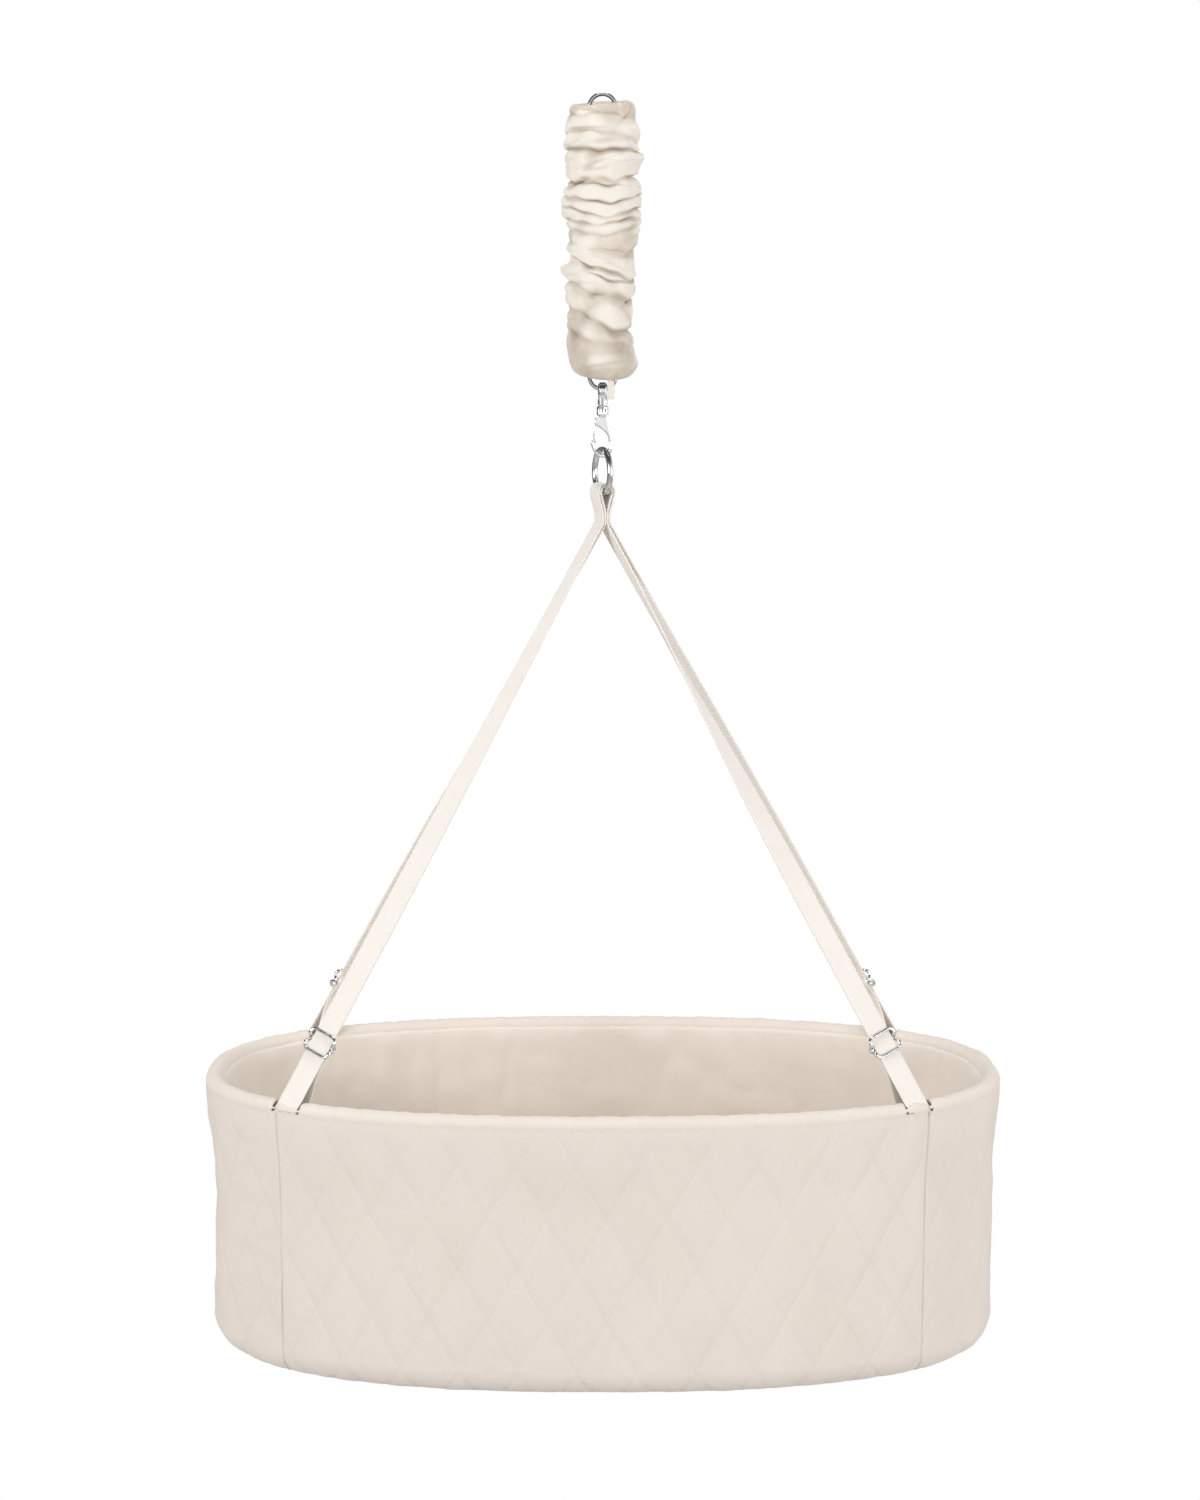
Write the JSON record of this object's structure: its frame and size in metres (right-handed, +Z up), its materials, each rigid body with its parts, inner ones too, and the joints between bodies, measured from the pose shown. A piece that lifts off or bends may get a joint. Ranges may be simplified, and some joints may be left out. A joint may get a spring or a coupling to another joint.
{
  "type": "hanging baby cradle",
  "caption": "Oval quilted cradle hung from a sleeved spring by a swivel snap hook, a steel ring and webbing straps with metal sliders.",
  "frame": {"origin": "the point of the spring's top loop that bears on the ceiling hook", "axes": "+Z up, +X along the basket to the right end, -Y to the front"},
  "size_m": [0.8, 0.3994, 1.2398],
  "materials": {
    "spring_steel": "satin",
    "ring_steel": "satin",
    "chrome": "polished",
    "sateen": "satin",
    "webbing": "matte",
    "quilted": "matte",
    "lining": "matte",
    "wadding": "matte",
    "wood": "matte",
    "cover": "matte"
  },
  "bodies": {
    "spring_top": {"spring_top_loop": "spring_steel", "spring_coil": "spring_steel", "spring_sleeve": "sateen"},
    "spring_bottom": {"spring_bottom_loop": "spring_steel", "sleeve_tab": "sateen"},
    "snap_eye": {"snap_eye": "chrome"},
    "snap_hook": {"snap_hook": "chrome", "gate_rivet": "chrome", "gate_spring": "spring_steel"},
    "snap_gate": {"snap_gate": "chrome"},
    "strap_ring": {"strap_ring": "ring_steel"},
    "cradle": {"strap_inner_crown": "webbing", "strap_outer_crown": "webbing", "strap_outer_front_left": "webbing", "strap_inner_front_right": "webbing", "strap_inner_back_left": "webbing", "strap_outer_back_right": "webbing", "rim_hoop": "wood", "front_panel": "quilted", "front_pad": "wadding", "back_panel": "quilted", "back_pad": "wadding", "left_end_panel": "quilted", "left_end_pad": "wadding", "right_end_panel": "quilted", "right_end_pad": "wadding", "bottom_panel": "quilted", "lining": "lining", "base_board": "wood", "mattress": "cover"},
    "slider_front_left": {"slider_front_left": "chrome"},
    "slider_front_right": {"slider_front_right": "chrome"},
    "slider_back_left": {"slider_back_left": "chrome"},
    "slider_back_right": {"slider_back_right": "chrome"}
  },
  "joints": [
    {"name": "bounce", "type": "slide", "parent": "spring_top", "child": "spring_bottom", "axis": [0, 0, -1], "range_m": [0, 0.15], "stiffness_N_per_m": 600, "springref_m": -0.15, "deforming": ["spring_coil", "spring_sleeve"]},
    {"name": "snap_swing", "type": "hinge", "parent": "spring_bottom", "child": "snap_eye", "pos_m": [0, 0, -0.279], "axis": [1, 0, 0], "range_deg": [-30, 30]},
    {"name": "snap_swivel", "type": "hinge", "parent": "snap_eye", "child": "snap_hook", "pos_m": [0, 0, -0.2978], "axis": [0, 0, 1], "continuous": true},
    {"name": "gate_open", "type": "hinge", "parent": "snap_hook", "child": "snap_gate", "pos_m": [-0.0051, 0, -0.3084], "axis": [0, -1, 0], "range_deg": [0, 25], "stiffness_Nm_per_rad": 0.01, "springref_deg": -28.65},
    {"name": "ring_swing", "type": "hinge", "parent": "snap_hook", "child": "strap_ring", "pos_m": [0, 0, -0.3435], "axis": [1, 0, 0], "range_deg": [-20, 20]},
    {"name": "cradle_swing", "type": "hinge", "parent": "strap_ring", "child": "cradle", "pos_m": [0, 0, -0.3811], "axis": [-0.342, 0.9397, 0], "range_deg": [-20, 20]},
    {"name": "front_left_slider", "type": "slide", "parent": "cradle", "child": "slider_front_left", "axis": [0.4658, 0.2219, 0.8566], "range_m": [0, 0.1]},
    {"name": "front_right_slider", "type": "slide", "parent": "cradle", "child": "slider_front_right", "axis": [-0.4689, 0.2232, 0.8546], "range_m": [0, 0.1]},
    {"name": "back_left_slider", "type": "slide", "parent": "cradle", "child": "slider_back_left", "axis": [0.4689, -0.2232, 0.8546], "range_m": [0, 0.1]},
    {"name": "back_right_slider", "type": "slide", "parent": "cradle", "child": "slider_back_right", "axis": [-0.4658, -0.2219, 0.8566], "range_m": [0, 0.1]}
  ]
}
